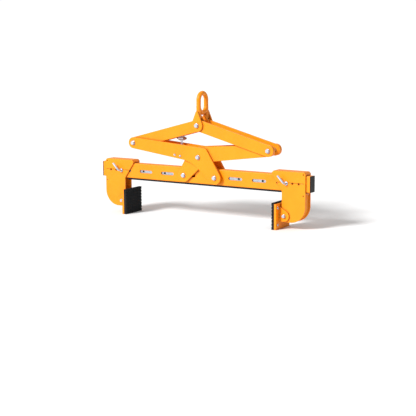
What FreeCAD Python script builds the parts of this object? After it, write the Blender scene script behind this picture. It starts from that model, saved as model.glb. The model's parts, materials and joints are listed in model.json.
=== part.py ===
import FreeCAD
import Part

import math
import os

import Sketcher

# Scissor lifting clamp for stone blocks and kerbs.
#
# Millimetres, +Z up, +X along the beam, -Y towards the side with the pin heads.
# The origin is the middle of the underside of the rest strip, the face that stands on the load.
# The scissors are shown open, with the lower pins against the outer ends of their slots.

V = FreeCAD.Vector
TO_PLUS_Y = FreeCAD.Rotation(V(0, 0, 1), V(0, 1, 0))
TO_PLUS_X = FreeCAD.Rotation(V(0, 0, 1), V(1, 0, 0))
SIDES = {"left": -1, "right": 1}

DIMENSIONS = {
    # outer beam: rectangular hollow section with a row of slots in both walls
    "beam_length": 1400, "beam_width": 50, "beam_height": 90, "beam_wall": 5, "beam_corner": 5,
    "slot_level": 54, "slot_pitch": 154, "slot_length": 90, "slot_width": 18,
    "scissor_slot_middle": 76, "scissor_slot_length": 83,
    "cap_flange": 5, "cap_plug": 22, "cap_gap": 0.3,
    "strip_thickness": 10, "strip_width": 44, "strip_length": 1040,
    # inner tubes: they slide in the beam and carry the carriages
    "tube_start": 80, "tube_length": 520, "tube_height": 78, "tube_width": 38, "tube_wall": 4,
    "tube_corner": 6,
    "tube_first_hole": 252,
    # scissor pivots
    "lower_pin_reach": 109, "centre_level": 166, "outer_pin_reach": 455, "outer_pin_level": 227,
    "yoke_pin_level": 348.5,
    # scissor plates lie in two layers on each side of the beam
    "scissor_plate": 12, "first_layer": 27, "layer_step": 13, "edge_break": 1,
    "arm_end_radius": 33, "leg_end_radius": 39, "lever_heel_radius": 28, "lever_waist_radius": 220,
    "spacer_outer": 30, "spacer_inner": 18,
    # yoke and lifting loop
    "yoke_plate": 10, "yoke_outer_face": 63, "yoke_inner_face": 26, "yoke_foot_radius": 36,
    "yoke_tip_radius": 7, "yoke_tip_level": 423, "yoke_inner_tip_level": 399,
    "loop_rod": 26, "loop_foot": 27, "loop_foot_length": 74, "loop_half_gap": 39.5,
    "loop_foot_level": 384, "loop_bend_level": 490, "loop_saddle_level": 458,
    # pins
    "main_pin": 20, "main_hole": 20.1, "lower_pin": 16, "lower_hole": 16.1,
    "open_centre_hole": 27, "open_yoke_hole": 39.6,
    "head_width": 22, "head_height": 9, "flange_width": 26, "flange_height": 3,
    "nut_across_corners": 34.6, "nut_height": 15, "tail_length": 22, "head_chamfer": 1.5,
    # carriages with their jaws
    "carriage_plate": 8, "carriage_gap": 52, "carriage_inner": 471, "carriage_outer": 677,
    "carriage_line": 3, "carriage_line_depth": 3, "carriage_line_level": 56, "relief_hole": 7,
    "carriage_top": 120, "carriage_chamfer": 10, "jaw_inner": 533, "jaw_bottom": -163,
    "jaw_radius": 91, "jaw_slant_top": 101, "jaw_slant_bottom": 11, "jaw_corner_radius": 18,
    "top_plate": 8, "top_plate_foot": 102, "web_inset": 9, "web_plate": 8, "web_top_level": 3.5,
    "web_start": 600, "web_end": 574,
    "lock_hole": 13, "lock_pitch": 38.5,
    # locking pins: bent rods
    "lock_rod": 12, "lock_bend": 15, "lock_handle": 44, "lock_front": 60, "lock_back": 44,
    "lock_collar": 22, "lock_collar_height": 3, "lock_handle_angle": 47,
    # gripping pads
    "pad_face": 494, "pad_rubber": 17, "pad_plate": 12, "pad_width": 160, "pad_height": 150,
    "pad_plate_height": 144, "pad_plate_drop": 3.5, "pad_pivot_reach": 552, "pad_pivot_level": -128,
    "ear_plate": 8, "ear_face": 35, "ear_radius": 30, "ear_shoulder": 52, "ear_foot": 32,
    "pad_pin": 16, "pad_hole": 16.1, "pad_head_width": 18,
    "pad_bolt": 10, "pad_bolt_hole": 10.1, "pad_bolt_head": 16, "pad_bolt_head_height": 6,
    "pad_bolt_spread": 122, "pad_bolt_rise": 94,
    # automatic latch on the left link and its keeper on the left lever
    "latch_reach": 143, "latch_plate": 8, "latch_eye_radius": 12, "latch_pin": 10, "latch_hole": 10.1,
    "latch_neck": 12, "latch_slit": 12.4, "latch_slit_depth": 8.2, "latch_foot": 36,
    "latch_foot_height": 8, "latch_foot_level": 178, "latch_weight_level": 265,
    "latch_weight": 27, "latch_weight_length": 34,
    "latch_knob": 20, "latch_knob_end": 12, "latch_knob_length": 14,
    "keeper_plate": 6, "keeper_bolt_head": 14, "keeper_bolt_head_height": 6, "keeper_bolt": 10,
    "keeper_tongue": 18, "keeper_reach": 46,
}

doc = FreeCAD.newDocument("lifting_clamp")
sheet = doc.addObject("Spreadsheet::Sheet", "dims")
for row, (alias, value) in enumerate(DIMENSIONS.items(), start=1):
    sheet.set(f"A{row}", alias)
    sheet.set(f"B{row}", str(value))
    sheet.setAlias(f"B{row}", alias)
doc.recompute()

nodes = {}


def dim(alias):
    """The value of one named cell of the sheet."""
    return float(sheet.get(alias))


def bind(thing, **sizes):
    """Bind each size of a document object to an expression on the sheet's cells."""
    for name, expression in sizes.items():
        words = []
        for word in expression.split():
            words.append(f"dims.{word}" if word in DIMENSIONS else word)
        thing.setExpression(name, " ".join(words))
    return thing


def place(thing, base, rotation=None):
    thing.Placement = FreeCAD.Placement(V(*base), rotation or FreeCAD.Rotation())
    return thing


def node(name, thing):
    """Register a finished sub-part under the name that its file gets."""
    thing.Label = name
    nodes[name] = thing
    return thing


# ---------------------------------------------------------------- outlines of flat plates

def tangent(first, second):
    """Ends of the tangent that runs past two circles (x, z, radius), both on its left."""
    across, up = second[0] - first[0], second[1] - first[1]
    lean = math.acos((second[2] - first[2]) / math.hypot(across, up))
    angle = math.atan2(up, across) + lean
    normal = V(math.cos(angle), math.sin(angle), 0)
    start = V(first[0], first[1], 0) - normal * first[2]
    end = V(second[0], second[1], 0) - normal * second[2]
    return start, end


def lobe(x, z, radius):
    """A rounded end of a plate, about a pin."""
    return ("lobe", x, z, radius)


def corner(x, z, radius=0.0):
    """A corner of a plate with a rounding."""
    return ("corner", x, z, radius)


def mirrored(stations):
    """The same outline on the other side of the clamp, still counter-clockwise."""
    return [(kind, -x, z, radius) for kind, x, z, radius in reversed(stations)]


def outline(stations):
    """Edges of a closed plate outline, given counter-clockwise as lobes and corners."""
    circles = [(x, z, radius if kind == "lobe" else 0.0) for kind, x, z, radius in stations]
    count = len(stations)
    legs = [tangent(circles[i], circles[(i + 1) % count]) for i in range(count)]
    arrivals = [legs[i - 1][1] for i in range(count)]
    departures = [legs[i][0] for i in range(count)]
    edges = []
    for i, (kind, x, z, radius) in enumerate(stations):
        if radius == 0:
            continue
        if kind == "lobe":
            start = math.atan2(arrivals[i].y - z, arrivals[i].x - x)
            end = math.atan2(departures[i].y - z, departures[i].x - x)
            if end < start:
                end += 2 * math.pi
            circle = Part.Circle(V(x, z, 0), V(0, 0, 1), radius)
            edges.append(Part.ArcOfCircle(circle, start, end))
            continue
        incoming = (legs[i - 1][1] - legs[i - 1][0]).normalize()
        outgoing = (legs[i][1] - legs[i][0]).normalize()
        half_turn = incoming.getAngle(outgoing) / 2
        setback = radius * math.tan(half_turn)
        inward = (outgoing - incoming).normalize()
        point = V(x, z, 0)
        arrivals[i] = point - incoming * setback
        departures[i] = point + outgoing * setback
        middle = point + inward * radius * (1 / math.cos(half_turn) - 1)
        edges.append(Part.Arc(arrivals[i], middle, departures[i]))
    for i in range(count):
        edges.append(Part.LineSegment(departures[i], arrivals[(i + 1) % count]))
    return edges


# ---------------------------------------------------------------- features

def origin_plane(body, role):
    return next(plane for plane in body.Origin.OriginFeatures if plane.Role == role)


def sketch(body, name, role, edges):
    flat = body.newObject("Sketcher::SketchObject", name)
    flat.AttachmentSupport = [(origin_plane(body, role), "")]
    flat.MapMode = "FlatFace"
    for edge in edges:
        flat.addGeometry(edge, False)
    return flat


def add_holes(flat, holes):
    """Round holes (x, z, alias of the diameter); each diameter is bound to its cell."""
    for x, z, alias in holes:
        circle = Part.Circle(V(x, z, 0), V(0, 0, 1), dim(alias) / 2)
        index = flat.addGeometry(circle, False)
        number = flat.addConstraint(Sketcher.Constraint("Diameter", index, dim(alias)))
        flat.setExpression(f"Constraints[{number}]", f"dims.{alias}")


def plate_body(name, edges, holes, thickness, back_face, edge_break=True):
    """A plate parallel to the XZ plane, from back_face - thickness to back_face along Y."""
    body = doc.addObject("PartDesign::Body", name)
    flat = sketch(body, f"{name}_outline", "XZ_Plane", edges)
    add_holes(flat, holes)
    pad = body.newObject("PartDesign::Pad", f"{name}_pad")
    pad.Profile = flat
    bind(pad, Length=thickness)
    flat.Visibility = False
    doc.recompute()
    if edge_break:
        faces = [f"Face{i}" for i, face in enumerate(pad.Shape.Faces, start=1)
                 if abs(abs(face.normalAt(0, 0).y) - 1) < 1e-6]
        chamfer = body.newObject("PartDesign::Chamfer", f"{name}_edges")
        chamfer.Base = (pad, faces)
        bind(chamfer, Size="edge_break")
        body.Tip = chamfer
    return place(body, (0, back_face, 0))


def box(name, length, width, height, corner_point):
    block = bind(doc.addObject("Part::Box", name), Length=length, Width=width, Height=height)
    return place(block, corner_point)


def cylinder(name, diameter, height, base, rotation=TO_PLUS_Y):
    rod = bind(doc.addObject("Part::Cylinder", name), Radius=f"{diameter} / 2", Height=height)
    return place(rod, base, rotation)


def fuse(name, pieces):
    joined = doc.addObject("Part::MultiFuse", name)
    joined.Shapes = pieces
    return joined


def cut(name, base, tool):
    result = doc.addObject("Part::Cut", name)
    result.Base = base
    result.Tool = tool
    return result


def rounded_bar(name, base, radius):
    """Round the four long edges of a bar that lies along X."""
    doc.recompute()
    bar = doc.addObject("Part::Fillet", name)
    bar.Base = base
    size = dim(radius)
    bar.Edges = [(i, size, size) for i, edge in enumerate(base.Shape.Edges, start=1)
                 if abs(abs(edge.tangentAt(edge.FirstParameter).x) - 1) < 1e-6]
    return bar


def group(name, pieces):
    """Identical fasteners of one body, kept as separate solids."""
    together = doc.addObject("Part::Compound", name)
    together.Links = pieces
    return together


def chamfered(name, base, picks):
    """Chamfer the circular edges of a turned part that picks(edge) accepts."""
    doc.recompute()
    broken = doc.addObject("Part::Chamfer", name)
    broken.Base = base
    size = dim("head_chamfer")
    broken.Edges = [(i, size, size) for i, edge in enumerate(base.Shape.Edges, start=1)
                    if isinstance(edge.Curve, Part.Circle) and picks(edge)]
    return broken


def bent_rod(name, path_edges, profile_role, profile_centre, diameter):
    """A round bar bent in the YZ plane of its own frame."""
    body = doc.addObject("PartDesign::Body", name)
    path = sketch(body, f"{name}_path", "YZ_Plane", path_edges)
    profile = sketch(body, f"{name}_section", profile_role, [])
    add_holes(profile, [(*profile_centre, diameter)])
    return body, path, profile


def sweep(body, path, profile):
    doc.recompute()
    pipe = body.newObject("PartDesign::AdditivePipe", f"{body.Name}_pipe")
    pipe.Profile = profile
    pipe.Spine = (path, [f"Edge{i + 1}" for i in range(len(path.Geometry))])
    body.Tip = pipe
    return body


# ---------------------------------------------------------------- pins and nuts

def headed_pin(name, diameter, head, x, z, seat, tail):
    """A pin along Y: flange and head in front of seat, shank back to tail."""
    front = seat - dim("flange_height") - dim("head_height")
    top = cylinder(f"{name}_head", head, "head_height", (x, front, z))
    disc = cylinder(f"{name}_flange", f"{head} * flange_width / head_width", "flange_height",
                    (x, seat - dim("flange_height"), z))
    shank = cylinder(f"{name}_shank", diameter, "1 mm", (x, seat, z))
    shank.setExpression("Height", f"{tail - seat} mm")
    whole = fuse(f"{name}_turned", [top, disc, shank])
    return chamfered(name, whole, lambda edge: edge.Curve.Center.y < front + 0.01)


def hex_nut(name, bore, x, z, seat, across="nut_across_corners"):
    """A nut with its corners chamfered on both faces."""
    blank = doc.addObject("Part::Prism", f"{name}_blank")
    blank.Polygon = 6
    bind(blank, Circumradius=f"{across} / 2", Height="nut_height")
    place(blank, (x, seat, z), TO_PLUS_Y)
    turned = cylinder(f"{name}_turned", across, "nut_height", (x, seat, z))
    turned = chamfered(f"{name}_chamfered", turned, lambda edge: True)
    shaped = doc.addObject("Part::MultiCommon", f"{name}_shaped")
    shaped.Shapes = [blank, turned]
    hole = cylinder(f"{name}_bore", bore, "nut_height", (x, seat, z))
    return cut(name, shaped, hole)


# ---------------------------------------------------------------- layers of the scissors

plate = dim("scissor_plate")
LAYERS = {
    "front_outer": -dim("first_layer") - dim("layer_step"),
    "front_inner": -dim("first_layer"),
    "back_inner": dim("first_layer") + plate,
    "back_outer": dim("first_layer") + dim("layer_step") + plate,
}
# back face of each plate: the two levers are one weldment turned half round, and so are the links
LEVER_LAYERS = {"left": ("front_outer", "back_inner"), "right": ("front_inner", "back_outer")}
LINK_LAYERS = {"left": ("front_inner", "back_outer"), "right": ("front_outer", "back_inner")}

outer_x, outer_z = dim("outer_pin_reach"), dim("outer_pin_level")
lower_x, lower_z = dim("lower_pin_reach"), dim("slot_level")
centre_z, yoke_z = dim("centre_level"), dim("yoke_pin_level")
arm_end = dim("arm_end_radius")


# ---------------------------------------------------------------- beam

def slot_edges(middle, length):
    """A slot with round ends, centred at middle on the slot level."""
    radius = dim("slot_width") / 2
    reach = length / 2 - radius
    return outline([lobe(middle - reach, lower_z, radius), lobe(middle + reach, lower_z, radius)])


def make_beam():
    length, width, height = dim("beam_length"), dim("beam_width"), dim("beam_height")
    wall, bottom = dim("beam_wall"), dim("strip_thickness")
    skin = box("beam_skin", "beam_length", "beam_width", "beam_height",
               (-length / 2, -width / 2, bottom))
    hollow = box("beam_hollow", "beam_length", "beam_width - 2 * beam_wall",
                 "beam_height - 2 * beam_wall", (-length / 2, -width / 2 + wall, bottom + wall))
    tube = cut("beam_tube", rounded_bar("beam_rounded", skin, "beam_corner"), hollow)
    pitch = dim("slot_pitch")
    slots = []
    for sign in SIDES.values():
        middles = [sign * dim("scissor_slot_middle")]
        lengths = [dim("scissor_slot_length")]
        for step in (1.5, 2.5, 3.5):
            middles.append(sign * step * pitch)
            lengths.append(dim("slot_length"))
        for middle, slot_length in zip(middles, lengths):
            name = f"beam_slot_{len(slots)}"
            cutter = plate_body(name, slot_edges(middle, slot_length), [], "beam_width * 2",
                                width, edge_break=False)
            slots.append(cutter)
    node("outer_beam", cut("outer_beam", tube, fuse("beam_slots", slots)))
    strip = box("rest_strip", "strip_length", "strip_width", "strip_thickness",
                (-dim("strip_length") / 2, -dim("strip_width") / 2, 0))
    node("rest_strip", strip)
    caps = [end_cap(side, sign, length, width, wall, bottom) for side, sign in SIDES.items()]
    node("beam_end_caps", group("beam_end_caps", caps))


def end_cap(side, sign, length, width, wall, bottom):
    flange_x = sign * length / 2 - (dim("cap_flange") if sign < 0 else 0)
    flange = box(f"cap_flange_{side}", "cap_flange", "beam_width", "beam_height",
                 (flange_x, -width / 2, bottom))
    inset = wall + dim("cap_gap")
    plug_x = sign * length / 2 - (dim("cap_plug") if sign > 0 else 0)
    plug = box(f"cap_plug_{side}", "cap_plug", "beam_width - 2 * beam_wall - 2 * cap_gap",
               "beam_height - 2 * beam_wall - 2 * cap_gap",
               (plug_x, -width / 2 + inset, bottom + inset))
    flange = rounded_bar(f"cap_rounded_{side}", flange, "beam_corner")
    return fuse(f"beam_end_cap_{side}", [flange, plug])


def make_inner_tube(side, sign):
    """Tube that slides in the beam, with holes for the lower pin and the locking pin."""
    start, length = dim("tube_start"), dim("tube_length")
    near = start if sign > 0 else -start - length
    half_width, wall = dim("tube_width") / 2, dim("tube_wall")
    bottom = dim("strip_thickness") + (dim("beam_height") - dim("tube_height")) / 2
    skin = box(f"tube_skin_{side}", "tube_length", "tube_width", "tube_height",
               (near, -half_width, bottom))
    hollow = box(f"tube_hollow_{side}", "tube_length", "tube_width - 2 * tube_wall",
                 "tube_height - 2 * tube_wall",
                 (near, -half_width + wall, bottom + wall))
    drills = [cylinder(f"tube_pin_drill_{side}", "lower_hole", "tube_width",
                       (sign * lower_x, -half_width, lower_z))]
    for step in range(3):
        x = sign * (dim("tube_first_hole") + step * dim("slot_pitch"))
        drills.append(cylinder(f"tube_lock_drill_{side}_{step}", "lock_hole", "tube_width",
                               (x, -half_width, lower_z)))
    tube = cut(f"tube_open_{side}", rounded_bar(f"tube_rounded_{side}", skin, "tube_corner"), hollow)
    node(f"inner_tube_{side}", cut(f"inner_tube_{side}", tube, fuse(f"tube_drills_{side}", drills)))


# ---------------------------------------------------------------- scissors

def lever_outline():
    """Left lever: a long arm to the outer pin and a bent leg to the lower pin."""
    return [
        lobe(-outer_x, outer_z, arm_end),
        corner(-42, centre_z - 27, dim("lever_waist_radius")),
        lobe(lower_x, lower_z, dim("leg_end_radius")),
        corner(52, centre_z + 53, dim("lever_heel_radius")),
    ]


def spacer(name, x, z, front, back):
    tube = cylinder(f"{name}_tube", "spacer_outer", "1 mm", (x, front, z))
    bore = cylinder(f"{name}_bore", "spacer_inner", "1 mm", (x, front, z))
    for piece in (tube, bore):
        piece.setExpression("Height", f"{back - front} mm")
    node(name, cut(name, tube, bore))


def keeper_bolt_places():
    """The two bolts of the latch keeper, parallel to the lower edge of the left lever."""
    return [(-158, centre_z + 6), (-121, centre_z + 1.5)]


def make_lever(side, sign):
    stations = lever_outline()
    centre_hole = "main_hole"
    if side == "right":
        stations = mirrored(stations)
        centre_hole = "open_centre_hole"
    holes = [(sign * outer_x, outer_z, "main_hole"), (0, centre_z, centre_hole),
             (-sign * lower_x, lower_z, "lower_hole")]
    for face, layer in zip(("front", "back"), LEVER_LAYERS[side]):
        extra = []
        if (side, face) == ("left", "front"):
            extra = [(x, z, "latch_hole") for x, z in keeper_bolt_places()]
        name = f"lever_{side}_{face}"
        node(name, plate_body(name, outline(stations), holes + extra, "scissor_plate", LAYERS[layer]))
    front, back = (LAYERS[layer] for layer in LEVER_LAYERS[side])
    spacer(f"lever_{side}_spacer", sign * 260, centre_z + 44, front, back - plate)


def link_point(sign, reach):
    """A point on the line from the yoke pin to an outer pin, at a distance along X."""
    share = reach / outer_x
    return sign * reach, yoke_z + share * (outer_z - yoke_z)


def make_link(side, sign):
    stations = [lobe(outer_x, outer_z, arm_end), lobe(0, yoke_z, arm_end)]
    yoke_hole = "open_yoke_hole"
    if side == "left":
        stations = mirrored(stations)
        yoke_hole = "main_hole"
    holes = [(0, yoke_z, yoke_hole), (sign * outer_x, outer_z, "main_hole")]
    for face, layer in zip(("front", "back"), LINK_LAYERS[side]):
        name = f"link_{side}_{face}"
        node(name, plate_body(name, outline(stations), holes, "scissor_plate", LAYERS[layer]))
    front, back = (LAYERS[layer] for layer in LINK_LAYERS[side])
    x, z = link_point(sign, outer_x / 2)
    spacer(f"link_{side}_spacer", x, z, front, back - plate)


def make_scissor_pins():
    front_seat = LAYERS["front_outer"] - plate
    back_seat = LAYERS["back_outer"]
    tail = back_seat + dim("tail_length")
    main = {"outer_pin_left": (-outer_x, outer_z), "outer_pin_right": (outer_x, outer_z),
            "centre_pin": (0, centre_z)}
    for name, (x, z) in main.items():
        node(name, headed_pin(name, "main_pin", "head_width", x, z, front_seat, tail))
    yoke_seat = dim("yoke_outer_face")
    yoke_tail = yoke_seat + dim("tail_length")
    node("yoke_pin", headed_pin("yoke_pin", "main_pin", "head_width", 0, yoke_z, -yoke_seat, yoke_tail))
    node("yoke_pin_nut", hex_nut("yoke_pin_nut", "main_hole", 0, yoke_z, yoke_seat))
    left_nuts = [hex_nut("nut_outer_left", "main_hole", -outer_x, outer_z, back_seat),
                 hex_nut("nut_centre", "main_hole", 0, centre_z, back_seat)]
    node("lever_left_nuts", group("lever_left_nuts", left_nuts))
    right_nut = hex_nut("lever_right_nut", "main_hole", outer_x, outer_z, back_seat)
    node("lever_right_nut", right_nut)


def make_lower_pin(side, sign):
    """The pin in the beam's innermost slot. It carries the lever of the other side."""
    lever = "left" if side == "right" else "right"
    front, back = (LAYERS[layer] for layer in LEVER_LAYERS[lever])
    x = sign * lower_x
    name = f"lower_pin_{side}"
    pin = headed_pin(name, "lower_pin", "head_width", x, lower_z, front - plate,
                     back + dim("tail_length"))
    node(name, pin)
    half_beam = dim("beam_width") / 2 + 0.5
    gap_start, gap_end = (front, -half_beam) if side == "right" else (half_beam, back - plate)
    bush = cylinder(f"bush_blank_{side}", "spacer_outer", "1 mm", (x, gap_start, lower_z))
    bore = cylinder(f"bush_bore_{side}", "lower_hole", "1 mm", (x, gap_start, lower_z))
    for piece in (bush, bore):
        piece.setExpression("Height", f"{gap_end - gap_start} mm")
    node(f"lower_bush_{side}", cut(f"lower_bush_{side}", bush, bore))
    return hex_nut(f"nut_lower_{side}", "lower_hole", x, lower_z, back, "nut_across_corners * 0.87")


def make_yoke():
    thickness = dim("yoke_plate")
    back_faces = {
        "yoke_plate_front_outer": thickness - dim("yoke_outer_face"),
        "yoke_plate_front_inner": thickness - dim("yoke_inner_face"),
        "yoke_plate_back_inner": dim("yoke_inner_face"),
        "yoke_plate_back_outer": dim("yoke_outer_face"),
    }
    for name, back_face in back_faces.items():
        tip = dim("yoke_inner_tip_level" if name.endswith("inner") else "yoke_tip_level")
        stations = [lobe(0, yoke_z, dim("yoke_foot_radius")), lobe(0, tip, dim("yoke_tip_radius"))]
        body = plate_body(name, outline(stations), [(0, yoke_z, "main_hole")], "yoke_plate", back_face)
        node(name, body)
    half_gap, low, high = dim("loop_half_gap"), dim("loop_saddle_level"), dim("loop_bend_level")
    path = [
        Part.LineSegment(V(-half_gap, low, 0), V(-half_gap, high, 0)),
        Part.Arc(V(-half_gap, high, 0), V(0, high + half_gap, 0), V(half_gap, high, 0)),
        Part.LineSegment(V(half_gap, high, 0), V(half_gap, low, 0)),
        Part.Arc(V(half_gap, low, 0), V(0, low - half_gap, 0), V(-half_gap, low, 0)),
    ]
    body, path, section = bent_rod("loop_ring", path, "XY_Plane", (0, -half_gap), "loop_rod")
    section.AttachmentOffset = FreeCAD.Placement(V(0, 0, low), FreeCAD.Rotation())
    legs = [cylinder(f"loop_foot_{i}", "loop_foot", "loop_foot_length",
                     (0, y, dim("loop_foot_level")), FreeCAD.Rotation())
            for i, y in enumerate((-half_gap, half_gap))]
    node("lifting_loop", fuse("lifting_loop", [sweep(body, path, section)] + legs))


# ---------------------------------------------------------------- carriages and jaws

def carriage_outline():
    """Right carriage plate: it straddles the beam and reaches down as the jaw."""
    inner, outer, top = dim("carriage_inner"), dim("carriage_outer"), dim("carriage_top")
    chamfer, radius, jaw = dim("carriage_chamfer"), dim("jaw_radius"), dim("jaw_inner")
    bottom = dim("jaw_bottom")
    return [
        corner(outer - chamfer, top),
        corner(inner + chamfer, top),
        corner(inner, top - chamfer),
        corner(inner, dim("jaw_slant_top"), 6),
        corner(jaw, dim("jaw_slant_bottom"), 14),
        corner(jaw, bottom, dim("jaw_corner_radius")),
        lobe(outer - radius, bottom + radius, radius),
        corner(outer, top - chamfer),
    ]


def top_plate_outline():
    """Strip bent down at both ends, which closes the right carriage over the beam."""
    inner, outer, top = dim("carriage_inner"), dim("carriage_outer"), dim("carriage_top")
    chamfer, thickness, foot = dim("carriage_chamfer"), dim("top_plate"), dim("top_plate_foot")
    shorten = thickness * (1 - math.tan(math.pi / 8))
    return [
        corner(inner, foot),
        corner(inner + thickness, foot),
        corner(inner + thickness, top - chamfer - shorten + thickness - 1),
        corner(inner + chamfer + shorten, top - thickness),
        corner(outer - chamfer - shorten, top - thickness),
        corner(outer - thickness, top - chamfer - shorten + thickness - 1),
        corner(outer - thickness, foot),
        corner(outer, foot),
        corner(outer, top - chamfer),
        corner(outer - chamfer, top),
        corner(inner + chamfer, top),
        corner(inner, top - chamfer),
    ]


def web_outline():
    """Plate under the beam and, welded to it, the strip that follows the right jaw's outer edge."""
    inset, thickness = dim("web_inset"), dim("web_plate")
    outer, bottom = dim("carriage_outer") - inset, dim("jaw_bottom") + inset
    radius = dim("jaw_radius") - inset
    top, start, end = dim("web_top_level"), dim("web_start"), dim("web_end")
    return [
        corner(start, top),
        corner(start, top - thickness),
        corner(outer - thickness, top - thickness),
        corner(outer - thickness, bottom + thickness, radius - thickness),
        corner(end, bottom + thickness),
        corner(end, bottom),
        corner(outer, bottom, radius),
        corner(outer, top - thickness),
        corner(outer + inset - 2, top - thickness),
        corner(outer + inset - 2, top),
    ]


def make_carriage(side, sign):
    stations, top_stations, web_stations = carriage_outline(), top_plate_outline(), web_outline()
    if sign < 0:
        stations, top_stations, web_stations = map(mirrored, (stations, top_stations, web_stations))
    pad_x, pad_z = sign * dim("pad_pivot_reach"), dim("pad_pivot_level")
    first_lock = dim("tube_first_hole") + 2 * dim("slot_pitch")
    holes = [(pad_x, pad_z, "pad_hole")]
    for step in range(3):
        holes.append((sign * (first_lock + step * dim("lock_pitch")), lower_z, "lock_hole"))
    for z in (dim("carriage_top") - 13, dim("web_top_level") - dim("web_plate") - 5):
        holes.append((sign * (dim("carriage_outer") - 12), z, "relief_hole"))
    half_gap, thickness = dim("carriage_gap") / 2, dim("carriage_plate")
    for face, back_face in {"front": -half_gap, "back": half_gap + thickness}.items():
        name = f"carriage_{side}_{face}"
        body = plate_body(f"{name}_plate", outline(stations), holes, "carriage_plate", back_face)
        node(name, cut(name, body, scribed_line(side, sign, face)))
    for part, part_stations in {f"carriage_{side}_top": top_stations,
                                f"jaw_web_{side}": web_stations}.items():
        body = plate_body(part, outline(part_stations), [], "carriage_gap", half_gap, edge_break=False)
        node(part, body)


def scribed_line(side, sign, face):
    """Cutter for the shallow level line that runs over the pin holes of a carriage plate."""
    length = dim("carriage_outer") - dim("jaw_inner") + 30
    near = dim("carriage_outer") - 6 - length if sign > 0 else 6 - dim("carriage_outer")
    outer_face = dim("carriage_gap") / 2 + dim("carriage_plate")
    y = -outer_face if face == "front" else outer_face - dim("carriage_line_depth")
    line = box(f"carriage_line_{side}_{face}", "1 mm", "carriage_line_depth", "carriage_line",
               (near, y, dim("carriage_line_level")))
    line.setExpression("Length", f"{length} mm")
    return line


def make_locking_pin(side, sign):
    """A round bar bent into a handle, with a collar that stops it at the carriage."""
    x = sign * (dim("tube_first_hole") + 2 * dim("slot_pitch"))
    bend, front, back = dim("lock_bend"), -dim("lock_front"), dim("lock_back")
    handle = dim("lock_handle")
    half = bend * (1 - math.sqrt(0.5))
    path = [
        Part.LineSegment(V(back, 0, 0), V(front + bend, 0, 0)),
        Part.Arc(V(front + bend, 0, 0), V(front + half, half, 0), V(front, bend, 0)),
        Part.LineSegment(V(front, bend, 0), V(front, bend + handle, 0)),
    ]
    body, path, section = bent_rod(f"locking_rod_{side}", path, "XZ_Plane", (0, 0), "lock_rod")
    section.AttachmentOffset = FreeCAD.Placement(V(0, 0, -back), FreeCAD.Rotation())
    sweep(body, path, section)
    lean = FreeCAD.Rotation(V(0, 1, 0), dim("lock_handle_angle") - 90)
    place(body, (x, 0, lower_z), lean)
    collar_front = -dim("carriage_gap") / 2 - dim("carriage_plate") - dim("lock_collar_height")
    collar = cylinder(f"lock_collar_{side}", "lock_collar", "lock_collar_height",
                      (x, collar_front, lower_z))
    node(f"locking_pin_{side}", fuse(f"locking_pin_{side}", [body, collar]))


# ---------------------------------------------------------------- gripping pads

def make_pad(side, sign):
    face, rubber, thickness = dim("pad_face"), dim("pad_rubber"), dim("pad_plate")
    pivot_x, pivot_z = dim("pad_pivot_reach"), dim("pad_pivot_level")
    half_width = dim("pad_width") / 2

    def near(start, depth):
        return start if sign > 0 else -start - depth

    skin = box(f"pad_rubber_{side}", "pad_rubber", "pad_width", "pad_height",
               (near(face, rubber), -half_width, pivot_z - dim("pad_height") / 2))
    node(f"pad_rubber_{side}", skin)
    plate_z = pivot_z - dim("pad_plate_drop")
    flat = box(f"pad_plate_{side}", "pad_plate", "pad_width", "pad_plate_height",
               (near(face + rubber, thickness), -half_width, plate_z - dim("pad_plate_height") / 2))
    back_of_plate = face + rubber + thickness
    stations = [corner(back_of_plate, pivot_z + dim("ear_shoulder")),
                corner(back_of_plate, pivot_z - dim("ear_foot")),
                lobe(pivot_x, pivot_z, dim("ear_radius"))]
    if sign < 0:
        stations = mirrored(stations)
    ears = []
    ear_face, ear = dim("ear_face"), dim("ear_plate")
    for name, back_face in {"front": -ear_face, "back": ear_face + ear}.items():
        ears.append(plate_body(f"pad_ear_{side}_{name}", outline(stations),
                               [(sign * pivot_x, pivot_z, "pad_hole")], "ear_plate", back_face,
                               edge_break=False))
    bolt_z = pivot_z - 1
    heads, drills = [], []
    for across in (-1, 1):
        for rise in (-1, 1):
            spot = f"{side}_{len(heads)}"
            y, z = across * dim("pad_bolt_spread") / 2, bolt_z + rise * dim("pad_bolt_rise") / 2
            head = cylinder(f"pad_bolt_head_{spot}", "pad_bolt_head", "pad_bolt_head_height",
                            (near(back_of_plate, dim("pad_bolt_head_height")), y, z), TO_PLUS_X)
            shank_at = (near(face + rubber, thickness), y, z)
            shank = cylinder(f"pad_bolt_shank_{spot}", "pad_bolt", "pad_plate", shank_at, TO_PLUS_X)
            heads.append(fuse(f"pad_bolt_{spot}", [head, shank]))
            drills.append(cylinder(f"pad_drill_{spot}", "pad_bolt_hole", "pad_plate", shank_at,
                                   TO_PLUS_X))
    welded = fuse(f"pad_welded_{side}", [flat] + ears)
    node(f"pad_bracket_{side}", cut(f"pad_bracket_{side}", welded, fuse(f"pad_drills_{side}", drills)))
    node(f"pad_bolts_{side}", group(f"pad_bolts_{side}", heads))
    seat = ear_face + ear
    pin = headed_pin(f"pad_pin_{side}", "pad_pin", "pad_head_width", sign * pivot_x, pivot_z, -seat,
                     seat + dim("tail_length"))
    node(f"pad_pin_{side}", pin)
    return hex_nut(f"nut_pad_{side}", "pad_hole", sign * pivot_x, pivot_z, seat,
                   "nut_across_corners * 0.87")


# ---------------------------------------------------------------- latch

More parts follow.
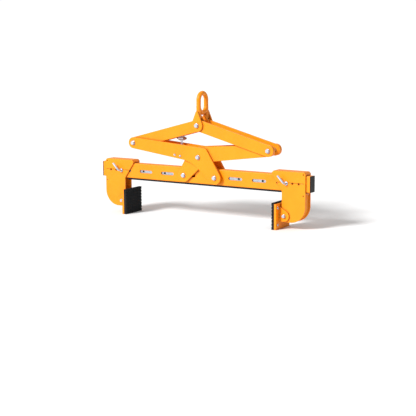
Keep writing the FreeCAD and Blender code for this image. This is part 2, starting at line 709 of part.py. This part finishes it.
def make_latch():
    x, eye_z = link_point(-1, dim("latch_reach"))
    half, foot = dim("latch_neck") / 2, dim("latch_foot") / 2
    foot_z = dim("latch_foot_level")
    foot_top = foot_z + dim("latch_foot_height")
    shoulder = eye_z - 16
    stations = [
        lobe(x, eye_z, dim("latch_eye_radius")),
        corner(x - half, shoulder),
        corner(x - half, foot_top),
        corner(x - foot, foot_top),
        corner(x - foot, foot_z),
        corner(x + foot, foot_z),
        corner(x + foot, foot_top),
        corner(x + half, foot_top),
        corner(x + half, shoulder),
    ]
    thickness = dim("latch_plate")
    arm = plate_body("latch_arm", outline(stations), [(x, eye_z, "latch_hole")], "latch_plate",
                     thickness / 2, edge_break=False)
    node("latch_arm", arm)
    length = dim("latch_weight_length")
    weight_z = dim("latch_weight_level")
    drum = cylinder("latch_drum", "latch_weight", "latch_weight_length",
                    (x - length / 2, 0, weight_z), TO_PLUS_X)
    slit = box("latch_opening", "latch_slit", "latch_slit_depth", "latch_weight",
               (x - dim("latch_slit") / 2, -dim("latch_slit_depth") / 2,
                weight_z - dim("latch_weight") / 2))
    node("latch_weight", cut("latch_weight", drum, slit))
    knobs = []
    for direction in (-1, 1):
        cone = bind(doc.addObject("Part::Cone", f"latch_knob_{len(knobs)}"),
                    Radius1="latch_knob / 2", Radius2="latch_knob_end / 2", Height="latch_knob_length")
        outward = FreeCAD.Rotation(V(0, 0, 1), V(direction, 0, 0))
        knobs.append(place(cone, (x + direction * length / 2, 0, weight_z), outward))
    node("latch_knobs", group("latch_knobs", knobs))
    front, back = (LAYERS[layer] for layer in LINK_LAYERS["left"])
    pin = cylinder("latch_pivot_pin", "latch_pin", "1 mm", (x, front, eye_z))
    pin.setExpression("Height", f"{back - plate - front} mm")
    node("latch_pivot_pin", pin)
    make_keeper()


def make_keeper():
    """Angle bolted inside the left lever, and its two bolts."""
    lever_back = LAYERS[LEVER_LAYERS["left"][0]]
    places = keeper_bolt_places()
    (left_x, left_z), (right_x, right_z) = places
    stations = [lobe(left_x, left_z, 11), lobe(right_x, right_z, 11)]
    strap = plate_body("keeper_strap", outline(stations),
                       [(x, z, "latch_hole") for x, z in places], "keeper_plate",
                       lever_back + dim("keeper_plate"), edge_break=False)
    middle_x = (left_x + right_x) / 2
    middle_z = (left_z + right_z) / 2
    tongue = box("keeper_tongue", "keeper_tongue", "keeper_reach", "keeper_plate",
                 (middle_x - dim("keeper_tongue") / 2, lever_back + dim("keeper_plate") - 1,
                  middle_z - dim("keeper_plate")))
    node("latch_keeper", fuse("latch_keeper", [strap, tongue]))
    seat = lever_back - plate
    bolts = []
    for i, (x, z) in enumerate(places):
        head = cylinder(f"keeper_head_{i}", "keeper_bolt_head", "keeper_bolt_head_height",
                        (x, seat - dim("keeper_bolt_head_height"), z))
        shank = cylinder(f"keeper_shank_{i}", "keeper_bolt", "scissor_plate + keeper_plate",
                         (x, seat, z))
        bolts.append(fuse(f"keeper_bolt_{i}", [head, shank]))
    node("keeper_bolts", group("keeper_bolts", bolts))


# ---------------------------------------------------------------- assembly

make_beam()
for side_name, side_sign in SIDES.items():
    make_inner_tube(side_name, side_sign)
    make_lever(side_name, side_sign)
    make_link(side_name, side_sign)
    make_carriage(side_name, side_sign)
    make_locking_pin(side_name, side_sign)
    jaw_nuts = [make_lower_pin(side_name, side_sign), make_pad(side_name, side_sign)]
    node(f"jaw_{side_name}_nuts", group(f"jaw_{side_name}_nuts", jaw_nuts))
make_scissor_pins()
make_yoke()
make_latch()
doc.recompute()

problems = [thing.Name for thing in doc.Objects if {"Invalid", "Error"} & set(thing.State)]
for name, thing in nodes.items():
    if thing.Shape.isNull() or not thing.Shape.isValid() or not thing.Shape.Solids:
        problems.append(name)
if problems:
    raise RuntimeError(f"failed objects: {problems}")

os.makedirs("parts", exist_ok=True)
for name, thing in nodes.items():
    thing.Shape.exportStep(os.path.join("parts", f"{name}.step"))
print(f"{len(nodes)} nodes written")
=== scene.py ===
import json
import math
from random import Random

import bmesh
import bpy
from mathutils import Matrix, Vector


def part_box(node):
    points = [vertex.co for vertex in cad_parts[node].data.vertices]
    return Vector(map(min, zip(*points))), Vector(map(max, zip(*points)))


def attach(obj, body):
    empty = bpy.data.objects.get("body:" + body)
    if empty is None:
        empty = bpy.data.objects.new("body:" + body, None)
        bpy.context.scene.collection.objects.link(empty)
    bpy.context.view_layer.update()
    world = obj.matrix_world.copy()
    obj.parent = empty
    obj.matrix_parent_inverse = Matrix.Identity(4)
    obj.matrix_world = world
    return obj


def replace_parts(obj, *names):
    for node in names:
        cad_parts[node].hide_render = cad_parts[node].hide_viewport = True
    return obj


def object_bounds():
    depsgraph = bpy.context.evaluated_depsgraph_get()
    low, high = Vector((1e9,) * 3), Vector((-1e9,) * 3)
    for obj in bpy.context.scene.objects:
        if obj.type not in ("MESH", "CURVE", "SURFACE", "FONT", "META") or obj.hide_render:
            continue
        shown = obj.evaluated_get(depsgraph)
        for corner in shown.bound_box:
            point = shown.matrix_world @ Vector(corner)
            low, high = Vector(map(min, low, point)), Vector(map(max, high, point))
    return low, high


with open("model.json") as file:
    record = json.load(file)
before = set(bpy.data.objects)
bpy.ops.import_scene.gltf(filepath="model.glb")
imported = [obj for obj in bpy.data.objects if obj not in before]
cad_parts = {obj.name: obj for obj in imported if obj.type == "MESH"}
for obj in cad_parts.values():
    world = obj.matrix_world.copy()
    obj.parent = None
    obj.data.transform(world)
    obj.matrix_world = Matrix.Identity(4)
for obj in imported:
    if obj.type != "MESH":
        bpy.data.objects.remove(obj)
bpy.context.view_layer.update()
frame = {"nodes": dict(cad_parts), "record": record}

MM = 0.001
SIDES = {"left": -1, "right": 1}
PAD_SCREW_HEAD = 6 * MM
BEAD_INSET = 1.2 * MM


# ---------------------------------------------------------------- materials

class Shader:
    """A material with a principled surface and short ways to add and join nodes."""

    def __init__(self, name):
        self.material = bpy.data.materials.new(name)
        self.material.use_nodes = True
        self.tree = self.material.node_tree
        self.tree.nodes.clear()
        output = self.tree.nodes.new("ShaderNodeOutputMaterial")
        self.surface = self.tree.nodes.new("ShaderNodeBsdfPrincipled")
        self.tree.links.new(self.surface.outputs["BSDF"], output.inputs["Surface"])
        coordinates = self.tree.nodes.new("ShaderNodeTexCoord")
        self.place = coordinates.outputs["Object"]

    def add(self, kind, inputs=None, **settings):
        made = self.tree.nodes.new(kind)
        for key, value in settings.items():
            setattr(made, key, value)
        for key, value in (inputs or {}).items():
            self.feed(made.inputs[key], value)
        return made

    def feed(self, socket, value):
        """Links a node's output to a socket, or sets the socket to a plain value."""
        if isinstance(value, bpy.types.NodeSocket):
            self.tree.links.new(value, socket)
        else:
            socket.default_value = value

    def noise(self, scale, detail=3.0, roughness=0.55, stretch=(1, 1, 1), distortion=0.0):
        """Cloudy noise, scale in features per metre, in the object's own coordinates."""
        mapped = self.add("ShaderNodeMapping", {"Vector": self.place, "Scale": stretch})
        made = self.add("ShaderNodeTexNoise", {
            "Vector": mapped.outputs[0], "Scale": scale, "Detail": detail,
            "Roughness": roughness, "Distortion": distortion})
        return made.outputs["Fac"]

    def cells(self, scale, feature="F1"):
        """Distance to the nearest of scattered points, scale in points per metre."""
        made = self.add("ShaderNodeTexVoronoi", {"Vector": self.place, "Scale": scale},
                        feature=feature)
        return made.outputs["Distance"]

    def ramp(self, value, low, high, out_low=0.0, out_high=1.0):
        """Rescales low..high to out_low..out_high, and holds the value at both ends."""
        made = self.add("ShaderNodeMapRange", {
            "Value": value, "From Min": low, "From Max": high,
            "To Min": out_low, "To Max": out_high})
        return made.outputs["Result"]

    def math(self, operation, first, second):
        made = self.add("ShaderNodeMath", operation=operation)
        self.feed(made.inputs[0], first)
        self.feed(made.inputs[1], second)
        return made.outputs[0]

    def mix(self, factor, first, second):
        made = self.add("ShaderNodeMix", data_type="RGBA")
        self.feed(made.inputs["Factor"], factor)
        self.feed(made.inputs["A"], first)
        self.feed(made.inputs["B"], second)
        return made.outputs["Result"]

    def bump(self, height, strength, distance, normal):
        made = self.add("ShaderNodeBump", {
            "Height": height, "Strength": strength, "Distance": distance, "Normal": normal})
        return made.outputs["Normal"]

    def rounded(self, radius):
        """Normals that round every sharp edge."""
        return self.add("ShaderNodeBevel", {"Radius": radius}, samples=6).outputs["Normal"]

    def edges(self, radius):
        """1 along sharp edges, falling to 0 within radius of them."""
        bent = self.rounded(radius)
        flat = self.add("ShaderNodeNewGeometry").outputs["True Normal"]
        same = self.add("ShaderNodeVectorMath", {0: bent, 1: flat}, operation="DOT_PRODUCT")
        return self.ramp(same.outputs["Value"], 0.995, 0.8)

    def crevices(self, distance):
        """1 deep in corners and gaps, 0 in the open: the mask for shade painted into colours."""
        open_share = self.add("ShaderNodeAmbientOcclusion", {"Distance": distance}, samples=6)
        return self.ramp(open_share.outputs["AO"], 0.9, 0.35)


def rgb(red, green, blue):
    return (red, green, blue, 1.0)


def powder_coat(name, base, deep, chalk):
    """Satin powder coat on steel: orange peel, soft fading, handling dust, chipped edges."""
    crevice_shade_colour = rgb(0.20, 0.062, 0.008)
    bare_steel = rgb(0.42, 0.40, 0.37)
    shade = Shader(name)
    fade = shade.noise(scale=7.0, detail=4.0)
    colour = shade.mix(shade.ramp(fade, 0.3, 0.7), base, deep)
    smudge = shade.noise(scale=38.0, detail=5.0, roughness=0.65, distortion=0.6)
    colour = shade.mix(shade.ramp(smudge, 0.52, 0.8, out_high=0.16), colour, chalk)
    # Painted shade: the coat darkens towards dark brown in corners and gaps, in noisy patches.
    patches = shade.ramp(shade.noise(scale=90.0), 0.2, 0.5)
    crevice_shade_mask = shade.math("MULTIPLY", shade.crevices(distance=0.015), patches)
    colour = shade.mix(shade.math("MULTIPLY", crevice_shade_mask, 0.75), colour, crevice_shade_colour)
    edge = shade.edges(radius=0.0016)
    chips = shade.math("GREATER_THAN", shade.noise(scale=120.0), 0.6)
    worn = shade.math("MULTIPLY", edge, chips)
    specks = shade.math("GREATER_THAN", shade.noise(scale=260.0, detail=2.0), 0.655)
    specks = shade.math("MULTIPLY", specks, shade.math("MULTIPLY", edge, 0.7))
    worn = shade.math("MAXIMUM", worn, specks)
    colour = shade.mix(shade.math("MULTIPLY", edge, 0.22), colour, chalk)
    colour = shade.mix(shade.math("MULTIPLY", worn, 0.75), colour, bare_steel)
    shade.feed(shade.surface.inputs["Base Color"], colour)
    gloss = shade.ramp(shade.noise(scale=24.0, detail=4.0), 0.3, 0.7, out_low=0.33, out_high=0.46)
    gloss = shade.math("ADD", gloss, shade.math("MULTIPLY", crevice_shade_mask, 0.3))
    shade.feed(shade.surface.inputs["Roughness"], gloss)
    shade.surface.inputs["Specular IOR Level"].default_value = 0.28
    peel = shade.cells(scale=420.0, feature="SMOOTH_F1")
    normal = shade.bump(peel, 0.10, 0.0004, shade.rounded(radius=0.0012))
    normal = shade.bump(shade.noise(scale=30.0, detail=2.0), 0.08, 0.002, normal)
    normal = shade.bump(shade.math("SUBTRACT", 1.0, worn), 0.35, 0.00015, normal)
    shade.feed(shade.surface.inputs["Normal"], normal)
    return shade.material


def zinc_plate(name, bright, dull, grain=(1, 1, 1), roughness=0.3):
    """Bright zinc plating: cool grey, cloudy spangle, fine turning or drawing marks."""
    glint = rgb(0.66, 0.71, 0.79)
    crevice_shade_colour = rgb(0.10, 0.085, 0.07)
    shade = Shader(name)
    cloud = shade.noise(scale=55.0, detail=5.0, distortion=0.8)
    colour = shade.mix(shade.ramp(cloud, 0.35, 0.65), bright, dull)
    spangle = shade.ramp(shade.cells(scale=240.0), 0.0, 0.6, out_high=0.18)
    colour = shade.mix(spangle, colour, glint)
    # Painted shade: the plating darkens towards dark grey in corners and gaps.
    crevice_shade_mask = shade.crevices(distance=0.006)
    colour = shade.mix(shade.math("MULTIPLY", crevice_shade_mask, 0.5), colour, crevice_shade_colour)
    shade.feed(shade.surface.inputs["Base Color"], colour)
    shade.surface.inputs["Metallic"].default_value = 0.85
    marks = shade.noise(scale=500.0, detail=2.0, stretch=grain)
    gloss = shade.ramp(marks, 0.3, 0.7, roughness - 0.08, roughness + 0.12)
    shade.feed(shade.surface.inputs["Roughness"], gloss)
    normal = shade.bump(marks, 0.12, 0.0002, shade.rounded(radius=0.0008))
    normal = shade.bump(cloud, 0.05, 0.001, normal)
    shade.feed(shade.surface.inputs["Normal"], normal)
    return shade.material


def moulded(name, base, dust, grain_scale, roughness):
    """Rubber or plastic: fine moulded grain, dust and rubbed edges."""
    shade = Shader(name)
    cloud = shade.noise(scale=20.0, detail=5.0, roughness=0.6)
    colour = shade.mix(shade.ramp(cloud, 0.4, 0.75, out_high=0.55), base, dust)
    patches = shade.ramp(shade.noise(scale=70.0), 0.4, 0.6)
    rub = shade.math("MULTIPLY", shade.edges(radius=0.0015), patches)
    colour = shade.mix(shade.math("MULTIPLY", rub, 0.6), colour, dust)
    shade.feed(shade.surface.inputs["Base Color"], colour)
    gloss = shade.ramp(cloud, 0.3, 0.7, roughness - 0.1, roughness + 0.1)
    shade.feed(shade.surface.inputs["Roughness"], gloss)
    shade.surface.inputs["Specular IOR Level"].default_value = 0.18
    normal = shade.bump(shade.cells(grain_scale), 0.25, 0.0003, shade.rounded(radius=0.0012))
    normal = shade.bump(shade.noise(scale=150.0), 0.15, 0.0005, normal)
    shade.feed(shade.surface.inputs["Normal"], normal)
    return shade.material


ORANGE = rgb(0.86, 0.268, 0.003)
DEEP_ORANGE = rgb(0.82, 0.238, 0.002)
PALE_ORANGE = rgb(0.90, 0.36, 0.02)
MATERIALS = {
    "yellow_paint": powder_coat("orange powder coat", ORANGE, DEEP_ORANGE, PALE_ORANGE),
    "zinc_plate": zinc_plate("zinc plate", rgb(0.60, 0.66, 0.75), rgb(0.42, 0.46, 0.52)),
    "black_rubber": moulded("black rubber", rgb(0.006, 0.0065, 0.008), rgb(0.021, 0.021, 0.022),
                            grain_scale=900.0, roughness=0.72),
    "black_plastic": moulded("black plastic", rgb(0.006, 0.006, 0.007), rgb(0.015, 0.015, 0.016),
                             grain_scale=1400.0, roughness=0.5),
    "brown_plastic": moulded("brown plastic", rgb(0.36, 0.15, 0.075), rgb(0.5, 0.3, 0.2),
                             grain_scale=700.0, roughness=0.42),
}
TUBE_STEEL = zinc_plate("drawn zinc tube", rgb(0.45, 0.49, 0.54), rgb(0.34, 0.37, 0.41),
                        grain=(0.03, 1, 1), roughness=0.34)


def paint_frame():
    """Every node gets the finish of its material slot; the inner tubes are of drawn steel."""
    for part in frame["record"]["subparts"]:
        mesh = frame["nodes"][part["node"]].data
        finish = MATERIALS[part["material_slot"]]
        if part["node"].startswith("inner_tube"):
            finish = TUBE_STEEL
        mesh.materials.clear()
        mesh.materials.append(finish)


# ---------------------------------------------------------------- pieces

def piece(name, shape, material_slot, body):
    """A new piece from a bmesh in the row frame. It rides on a body of the record."""
    bmesh.ops.recalc_face_normals(shape, faces=shape.faces)
    mesh = bpy.data.meshes.new(name)
    shape.to_mesh(mesh)
    shape.free()
    thing = bpy.data.objects.new(name, mesh)
    bpy.context.scene.collection.objects.link(thing)
    mesh.materials.append(MATERIALS[material_slot])
    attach(thing, body)
    return thing


def smooth(shape):
    for face in shape.faces:
        face.smooth = True


def skin(shape, loops, closed=False):
    """Quads between loops of points; the ends are filled unless the loops close on themselves."""
    rings = [[shape.verts.new(point) for point in loop] for loop in loops]
    pairs = list(zip(rings, rings[1:]))
    if closed:
        pairs.append((rings[-1], rings[0]))
    for first, second in pairs:
        for i in range(len(first)):
            j = (i + 1) % len(first)
            shape.faces.new((first[i], first[j], second[j], second[i]))
    if not closed:
        shape.faces.new(rings[0])
        shape.faces.new(rings[-1])


def frame_across(direction):
    """Two unit vectors square to a direction and to each other."""
    helper = Vector((0, 0, 1)) if abs(direction.z) < 0.9 else Vector((1, 0, 0))
    first = direction.cross(helper).normalized()
    return first, direction.cross(first).normalized()


def weld_bead(shape, points, radius=2.6 * MM, closed=False):
    """A rippled bead along a line of points, with three steps to a ripple."""
    step = 1.1 * MM
    corners = 10
    ripple = 0.10
    unevenness = 0.05
    random = Random(len(points))
    stations = []
    legs = list(zip(points, points[1:] + points[:1]))
    for start, end in legs if closed else legs[:-1]:
        steps = max(1, round((end - start).length / step))
        along = (end - start).normalized()
        stations += [(start.lerp(end, i / steps), along) for i in range(steps)]
    turns = [2 * math.pi * k / corners for k in range(corners)]
    loops = []
    for i, (centre, along) in enumerate(stations):
        wave = ripple * math.sin(2 * math.pi * i / 3)
        swell = radius * (1 + wave + random.uniform(-unevenness, unevenness))
        across, up = frame_across(along)
        loops.append([centre + swell * (math.cos(t) * across + math.sin(t) * up) for t in turns])
    skin(shape, loops, closed)


def ring_of_points(centre, radius, count=40):
    """A circle about the Y axis through centre."""
    turns = [2 * math.pi * i / count for i in range(count)]
    return [centre + radius * Vector((math.cos(t), 0, math.sin(t))) for t in turns]


def spacer_welds(name):
    """Fillets round both ends of the spacer tube between the two plates of a lever or link."""
    ring_radius = 15.6 * MM
    low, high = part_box(f"{name}_spacer")
    middle = (low + high) / 2
    shape = bmesh.new()
    for y in (low.y + BEAD_INSET, high.y - BEAD_INSET):
        centre = Vector((middle.x, y, middle.z))
        weld_bead(shape, ring_of_points(centre, ring_radius), closed=True)
    smooth(shape)
    piece(f"{name}_spacer_welds", shape, "yellow_paint", name)


def loop_welds():
    """Upright fillets where the feet of the lifting loop pass between the yoke plates."""
    plate_faces_and_heights = ((-51, 31), (-28, 17), (28, 17), (51, 31))
    foot_level = 386
    half_gap = 7
    shape = bmesh.new()
    for y, height in plate_faces_and_heights:
        for x in (-half_gap, half_gap):
            foot = Vector((x, y, foot_level)) * MM
            weld_bead(shape, [foot, foot + Vector((0, 0, height * MM))], 3.2 * MM)
    smooth(shape)
    piece("lifting_loop_welds", shape, "yellow_paint", "yoke")


def pad_welds(side, sign):
    """Both fillets of each ear on the back of the pad plate."""
    beside_ears = (-44, -34, 34, 44)
    bottom = -158 * MM
    top = -79 * MM
    low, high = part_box(f"pad_bolts_{side}")
    plate_back = (high.x if sign > 0 else low.x) - sign * PAD_SCREW_HEAD
    x = plate_back + sign * 1.4 * MM
    shape = bmesh.new()
    for y in beside_ears:
        weld_bead(shape, [Vector((x, y * MM, bottom)), Vector((x, y * MM, top))])
    smooth(shape)
    piece(f"pad_{side}_welds", shape, "yellow_paint", f"pad_{side}")


def jaw_welds(side, sign):
    """Fillets between the jaw web's outer face and the two jaw plates."""
    outer = 668 * MM
    inner_end = 576 * MM
    top = -10 * MM
    radius = 82 * MM
    arc_steps = 24
    low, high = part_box(f"jaw_web_{side}")
    path = [Vector((sign * outer, 0, top))]
    for i in range(arc_steps + 1):
        turn = math.pi / 2 * i / arc_steps
        across = outer - radius + radius * math.cos(turn)
        path.append(Vector((sign * across, 0, low.z + radius - radius * math.sin(turn))))
    path.append(Vector((sign * inner_end, 0, low.z)))
    shape = bmesh.new()
    for y in (low.y + BEAD_INSET, high.y - BEAD_INSET):
        weld_bead(shape, [Vector((point.x, y, point.z)) for point in path], 2.2 * MM)
    smooth(shape)
    piece(f"jaw_{side}_web_welds", shape, "yellow_paint", f"jaw_{side}")


def welds():
    """Fillets where plates, tubes and bars of one body are welded together."""
    for name in ("lever_left", "lever_right", "link_left", "link_right"):
        spacer_welds(name)
    loop_welds()
    for side, sign in SIDES.items():
        pad_welds(side, sign)
        jaw_welds(side, sign)


def thread(shape, axis, start, end, radius):
    """A rolled thread round an axis that lies along Y, between two levels of Y."""
    pitch = 2.5 * MM
    depth = 0.75 * MM
    per_turn = 36
    flank = pitch * 0.42
    crest = flank * 0.15
    count = int((end - start) / pitch * per_turn)
    section = ((-depth, -flank), (depth, -crest), (depth, crest), (-depth, flank))
    loops = []
    for i in range(count):
        turn = 2 * math.pi * i / per_turn
        out = Vector((math.cos(turn), 0, math.sin(turn)))
        centre = Vector((axis.x, start + (end - start) * i / count, axis.z))
        loops.append([centre + out * (radius + rise) + Vector((0, shift, 0))
                      for rise, shift in section])
    skin(shape, loops)


def pin_threads():
    """Threads on the pin tails that stand out of their nuts."""
    thin = 8 * MM
    thick = 10 * MM
    thread_length = 9 * MM
    plain_end = 1.4 * MM
    pins = {
        "outer_pin_left": ("lever_left", thick), "centre_pin": ("lever_left", thick),
        "outer_pin_right": ("lever_right", thick), "yoke_pin": ("yoke", thick),
        "lower_pin_left": ("jaw_left", thin), "lower_pin_right": ("jaw_right", thin),
        "pad_pin_left": ("jaw_left", thin), "pad_pin_right": ("jaw_right", thin),
    }
    for name, (body, radius) in pins.items():
        low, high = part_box(name)
        shape = bmesh.new()
        thread(shape, (low + high) / 2, high.y - thread_length, high.y - plain_end, radius)
        piece(f"{name}_thread", shape, "zinc_plate", body)


def socket_screw(shape, seat, outward, head_radius, head_height, shank):
    """A button-head screw with a hexagon socket; outward points from the seat to the head.

    Each ring has its radius as a share of the head's, its height as a share of the head's, and
    whether it is a hexagon. shank is the length below the seat, in head heights.
    """
    corners = 48
    dome = math.radians(70)
    dome_steps = 6
    rim = 0.12
    narrowing = 0.46
    across, up = frame_across(outward)
    rings = [(0.5, -shank, False), (0.5, -0.05, False), (0.97, 0.0, False), (1.0, rim, False)]
    for i in range(1, dome_steps + 1):
        turn = dome * i / dome_steps
        share = 1.0 - narrowing * (1 - math.cos(turn)) / (1 - math.cos(dome))
        rings.append((share, rim + (1 - rim) * math.sin(turn) / math.sin(dome), False))
    rings += [(0.44, 1.0, True), (0.43, 0.96, True), (0.43, 0.4, True)]
    loops = []
    for share, height, hexagonal in rings:
        loop = []
        for k in range(corners):
            turn = 2 * math.pi * k / corners
            reach = head_radius * share
            if hexagonal:
                reach *= math.cos(math.pi / 6) / math.cos(turn % (math.pi / 3) - math.pi / 6)
            loop.append(seat + outward * height * head_height
                        + reach * (math.cos(turn) * across + math.sin(turn) * up))
        loops.append(loop)
    skin(shape, loops)


def pad_screws(side, sign):
    """The four button-head screws that hold a pad's rubber."""
    outward = Vector((sign, 0, 0))
    radius = 8 * MM
    low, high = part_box(f"pad_bolts_{side}")
    seat = (high.x if sign > 0 else low.x) - sign * PAD_SCREW_HEAD
    shape = bmesh.new()
    for y in (low.y + radius, high.y - radius):
        for z in (low.z + radius, high.z - radius):
            socket_screw(shape, Vector((seat, y, z)), outward, radius, PAD_SCREW_HEAD, shank=2.4)
    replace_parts(piece(f"pad_{side}_screws", shape, "zinc_plate", f"pad_{side}"),
                f"pad_bolts_{side}")


def keeper_screws():
    """The two button-head screws of the latch keeper, on the front of the left lever."""
    outward = Vector((0, -1, 0))
    height = 6 * MM
    radius = 7 * MM
    low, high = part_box("keeper_bolts")
    shape = bmesh.new()
    for x, z in ((low.x + radius, high.z - radius), (high.x - radius, low.z + radius)):
        socket_screw(shape, Vector((x, low.y + height, z)), outward, radius, height, shank=2.8)
    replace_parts(piece("keeper_screws", shape, "zinc_plate", "lever_left"), "keeper_bolts")


def block_pattern(start, end, pitch, groove):
    """Positions and heights, 0 to 1, across a row of raised blocks with sloping sides."""
    slope = 0.9 * MM
    count = round((end - start) / pitch)
    step = (end - start) / count
    marks = []
    for i in range(count):
        left = start + i * step + (groove / 2 if i else 0.0)
        right = start + (i + 1) * step - (groove / 2 if i < count - 1 else 0.0)
        first = (left, 0.0) if i else (left, 1.0)
        last = (right, 0.0) if i < count - 1 else (right, 1.0)
        marks += [first, (left + slope, 1.0), (right - slope, 1.0), last]
    return marks


def grip_pad(side, sign):
    """The moulded rubber face of a pad, with square blocks that bite on the stone."""
    groove = 4 * MM
    depth = 3.2 * MM
    low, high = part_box(f"pad_rubber_{side}")
    face, back = (low.x, high.x) if sign > 0 else (high.x, low.x)
    across = block_pattern(low.y, high.y, 20 * MM, groove)
    rise = block_pattern(low.z, high.z, 19 * MM, groove)
    shape = bmesh.new()
    grid = [[shape.verts.new((face + sign * depth * (1 - min(h1, h2)), y, z)) for z, h2 in rise]
            for y, h1 in across]
    for row, following in zip(grid, grid[1:]):
        for j in range(len(row) - 1):
            shape.faces.new((row[j], row[j + 1], following[j + 1], following[j]))
    rim = [row[0] for row in grid] + grid[-1][1:] + [row[-1] for row in grid[-2::-1]]
    rim += grid[0][-2:0:-1]
    lip = [shape.verts.new((back, vert.co.y, vert.co.z)) for vert in rim]
    for i in range(len(rim)):
        j = (i + 1) % len(rim)
        shape.faces.new((rim[i], rim[j], lip[j], lip[i]))
    shape.faces.new(lip)
    pad = piece(f"grip_pad_{side}", shape, "black_rubber", f"pad_{side}")
    rounding = pad.modifiers.new("rounding", "BEVEL")
    rounding.width = 1.2 * MM
    rounding.segments = 3
    rounding.limit_method = "ANGLE"
    rounding.angle_limit = math.radians(60)
    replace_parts(pad, f"pad_rubber_{side}")


def rest_pad():
    """Extruded rubber strip under the beam, with rounded edges and five ribs underneath."""
    ribs = 5
    edge_height = 2.5 * MM
    chamfer_width = 0.7 * MM
    chamfer_height = 0.8 * MM
    margin = 2 * MM
    groove_depth = 1.4 * MM
    low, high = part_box("rest_strip")
    width = (high.y - low.y - 2 * margin) / ribs
    section = [(low.y, high.z), (low.y, low.z + edge_height),
               (low.y + chamfer_width, low.z + chamfer_height)]
    for i in range(ribs):
        left = low.y + margin + i * width
        section += [(left + 0.6 * MM, low.z), (left + width - 2.4 * MM, low.z)]
        if i < ribs - 1:
            section += [(left + width - 1.6 * MM, low.z + groove_depth),
                        (left + width - 0.4 * MM, low.z + groove_depth)]
    section += [(high.y - chamfer_width, low.z + chamfer_height),
                (high.y, low.z + edge_height), (high.y, high.z)]
    shape = bmesh.new()
    skin(shape, [[(x, y, z) for y, z in section] for x in (low.x, high.x)])
    strip = piece("ribbed_rest_strip", shape, "black_rubber", "beam")
    rounding = strip.modifiers.new("rounding", "BEVEL")
    rounding.width = 0.4 * MM
    rounding.segments = 2
    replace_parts(strip, "rest_strip")


# ---------------------------------------------------------------- stage

def studio_floor():
    """A pale floor just under the lowest point of the clamp."""
    reach = 30.0
    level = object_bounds()[0].z
    mesh = bpy.data.meshes.new("floor")
    corners = [(-reach, -reach), (reach, -reach), (reach, reach), (-reach, reach)]
    mesh.from_pydata([(x, y, level) for x, y in corners], [], [(0, 1, 2, 3)])
    floor = bpy.data.objects.new("floor", mesh)
    bpy.context.scene.collection.objects.link(floor)
    shade = Shader("pale floor")
    colour = shade.mix(shade.noise(scale=0.8, detail=2.0),
                       rgb(0.90, 0.90, 0.90), rgb(0.93, 0.93, 0.93))
    shade.feed(shade.surface.inputs["Base Color"], colour)
    shade.surface.inputs["Roughness"].default_value = 0.7
    mesh.materials.append(shade.material)


def studio_light():
    """A white surround, brighter to the eye than as a light, and one broad sun from the front."""
    light_strength = 0.55
    seen_strength = 1.05
    shine_towards = Vector((0.30, 0.77, -0.56))
    scene = bpy.context.scene
    scene.view_settings.view_transform = "Standard"
    world = bpy.data.worlds.new("studio")
    world.use_nodes = True
    tree = world.node_tree
    background = tree.nodes["Background"]
    background.inputs["Color"].default_value = rgb(1.0, 1.0, 1.0)
    seen = tree.nodes.new("ShaderNodeLightPath").outputs["Is Camera Ray"]
    strength = tree.nodes.new("ShaderNodeMapRange")
    tree.links.new(seen, strength.inputs["Value"])
    strength.inputs["To Min"].default_value = light_strength
    strength.inputs["To Max"].default_value = seen_strength
    tree.links.new(strength.outputs["Result"], background.inputs["Strength"])
    scene.world = world
    data = bpy.data.lights.new("key", "SUN")
    data.energy = 4.1
    data.angle = math.radians(16)
    key = bpy.data.objects.new("key", data)
    key.rotation_euler = shine_towards.to_track_quat("-Z", "Y").to_euler()
    scene.collection.objects.link(key)


def photo_camera():
    """The camera looks along the beam's front from its right end, a little from above."""
    target = Vector((0.0338, 0.0, -0.1320))
    distance = 6.068
    azimuth = math.radians(32.10)
    down = math.radians(9.58)
    roll = math.radians(0.34)
    level = Vector((math.cos(azimuth), math.sin(azimuth), 0.0))
    back = Vector((math.sin(azimuth) * math.cos(down), -math.cos(azimuth) * math.cos(down),
                   math.sin(down)))
    upright = back.cross(level)
    right = math.cos(roll) * level - math.sin(roll) * upright
    top = math.sin(roll) * level + math.cos(roll) * upright
    data = bpy.data.cameras.new("camera")
    data.lens = 90.75
    data.clip_end = 200.0
    camera = bpy.data.objects.new("camera", data)
    turned = Matrix((right, top, back)).transposed().to_4x4()
    camera.matrix_world = Matrix.Translation(target + back * distance) @ turned
    bpy.context.scene.collection.objects.link(camera)
    bpy.context.scene.camera = camera


paint_frame()
welds()
pin_threads()
for pad_side, pad_sign in SIDES.items():
    pad_screws(pad_side, pad_sign)
keeper_screws()
for pad_side, pad_sign in SIDES.items():
    grip_pad(pad_side, pad_sign)
rest_pad()
studio_floor()
studio_light()
photo_camera()
